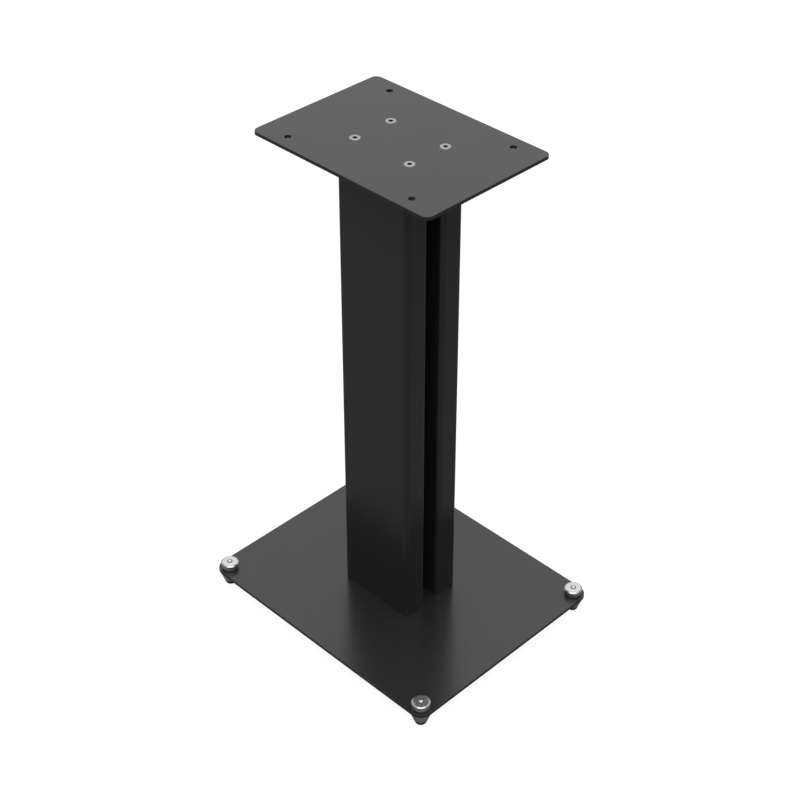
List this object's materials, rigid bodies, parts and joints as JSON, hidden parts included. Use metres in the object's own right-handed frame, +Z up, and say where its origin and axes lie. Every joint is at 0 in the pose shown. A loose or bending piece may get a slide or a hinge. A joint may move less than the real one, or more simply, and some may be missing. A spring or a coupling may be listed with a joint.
{
  "type": "speaker stand",
  "caption": "Black steel speaker stand: side-by-side rectangular tube posts join a flat top plate to a wider base plate on adjustable tapered feet locked by chrome caps.",
  "frame": {"origin": "on the floor, under the middle of the base plate", "axes": "+Z up, the stand's front faces -Y and its long sides run along Y, +X to the right seen from the front"},
  "size_m": [0.289, 0.355, 0.6237],
  "materials": {
    "black_powder_coat": "satin powder coat, fine texture",
    "mild_steel": "mill finish, unpainted inside the tubes",
    "zinc_plated_steel": "bright zinc plate",
    "chrome_plate": "polished chrome plate on turned steel",
    "stud_steel": "rolled thread, zinc plate",
    "rubber": "matt moulded rubber"
  },
  "bodies": {
    "stand": {"top_plate": "black_powder_coat", "post_left": "black_powder_coat", "post_right": "black_powder_coat", "base_plate": "black_powder_coat", "end_plate_top_left": "mild_steel", "end_plate_top_right": "mild_steel", "end_plate_bottom_left": "mild_steel", "end_plate_bottom_right": "mild_steel", "top_screw_left_front": "zinc_plated_steel", "top_screw_right_front": "zinc_plated_steel", "top_screw_left_back": "zinc_plated_steel", "top_screw_right_back": "zinc_plated_steel", "base_screw_left_front": "zinc_plated_steel", "base_screw_right_front": "zinc_plated_steel", "base_screw_left_back": "zinc_plated_steel", "base_screw_right_back": "zinc_plated_steel"},
    "cap_left_front": {"lock_cap_left_front": "chrome_plate"},
    "pad_left_front": {"foot_pad_left_front": "rubber"},
    "foot_left_front": {"foot_cone_left_front": "chrome_plate", "foot_stud_left_front": "stud_steel"},
    "cap_right_front": {"lock_cap_right_front": "chrome_plate"},
    "pad_right_front": {"foot_pad_right_front": "rubber"},
    "foot_right_front": {"foot_cone_right_front": "chrome_plate", "foot_stud_right_front": "stud_steel"},
    "cap_left_back": {"lock_cap_left_back": "chrome_plate"},
    "pad_left_back": {"foot_pad_left_back": "rubber"},
    "foot_left_back": {"foot_cone_left_back": "chrome_plate", "foot_stud_left_back": "stud_steel"},
    "cap_right_back": {"lock_cap_right_back": "chrome_plate"},
    "pad_right_back": {"foot_pad_right_back": "rubber"},
    "foot_right_back": {"foot_cone_right_back": "chrome_plate", "foot_stud_right_back": "stud_steel"}
  },
  "joints": [
    {"name": "cap_lift_left_front", "type": "slide", "parent": "stand", "child": "cap_left_front", "axis": [0, 0, 1], "range_m": [0, 0.0025]},
    {"name": "foot_drop_left_front", "type": "slide", "parent": "stand", "child": "pad_left_front", "axis": [0, 0, -1], "range_m": [0, 0.00375]},
    {"name": "foot_turn_left_front", "type": "hinge", "parent": "pad_left_front", "child": "foot_left_front", "pos_m": [-0.1305, -0.1635, 0.0197], "axis": [0, 0, -1], "range_deg": [0, 1080]},
    {"name": "cap_lift_right_front", "type": "slide", "parent": "stand", "child": "cap_right_front", "axis": [0, 0, 1], "range_m": [0, 0.0025]},
    {"name": "foot_drop_right_front", "type": "slide", "parent": "stand", "child": "pad_right_front", "axis": [0, 0, -1], "range_m": [0, 0.00375]},
    {"name": "foot_turn_right_front", "type": "hinge", "parent": "pad_right_front", "child": "foot_right_front", "pos_m": [0.1305, -0.1635, 0.0197], "axis": [0, 0, -1], "range_deg": [0, 1080]},
    {"name": "cap_lift_left_back", "type": "slide", "parent": "stand", "child": "cap_left_back", "axis": [0, 0, 1], "range_m": [0, 0.0025]},
    {"name": "foot_drop_left_back", "type": "slide", "parent": "stand", "child": "pad_left_back", "axis": [0, 0, -1], "range_m": [0, 0.00375]},
    {"name": "foot_turn_left_back", "type": "hinge", "parent": "pad_left_back", "child": "foot_left_back", "pos_m": [-0.1305, 0.1635, 0.0197], "axis": [0, 0, -1], "range_deg": [0, 1080]},
    {"name": "cap_lift_right_back", "type": "slide", "parent": "stand", "child": "cap_right_back", "axis": [0, 0, 1], "range_m": [0, 0.0025]},
    {"name": "foot_drop_right_back", "type": "slide", "parent": "stand", "child": "pad_right_back", "axis": [0, 0, -1], "range_m": [0, 0.00375]},
    {"name": "foot_turn_right_back", "type": "hinge", "parent": "pad_right_back", "child": "foot_right_back", "pos_m": [0.1305, 0.1635, 0.0197], "axis": [0, 0, -1], "range_deg": [0, 1080]}
  ],
  "couplings": [
    {"joint": "foot_turn_left_front", "follows": "foot_drop_left_front", "rad_per_m": 5026.5},
    {"joint": "foot_turn_right_front", "follows": "foot_drop_right_front", "rad_per_m": 5026.5},
    {"joint": "foot_turn_left_back", "follows": "foot_drop_left_back", "rad_per_m": 5026.5},
    {"joint": "foot_turn_right_back", "follows": "foot_drop_right_back", "rad_per_m": 5026.5}
  ]
}
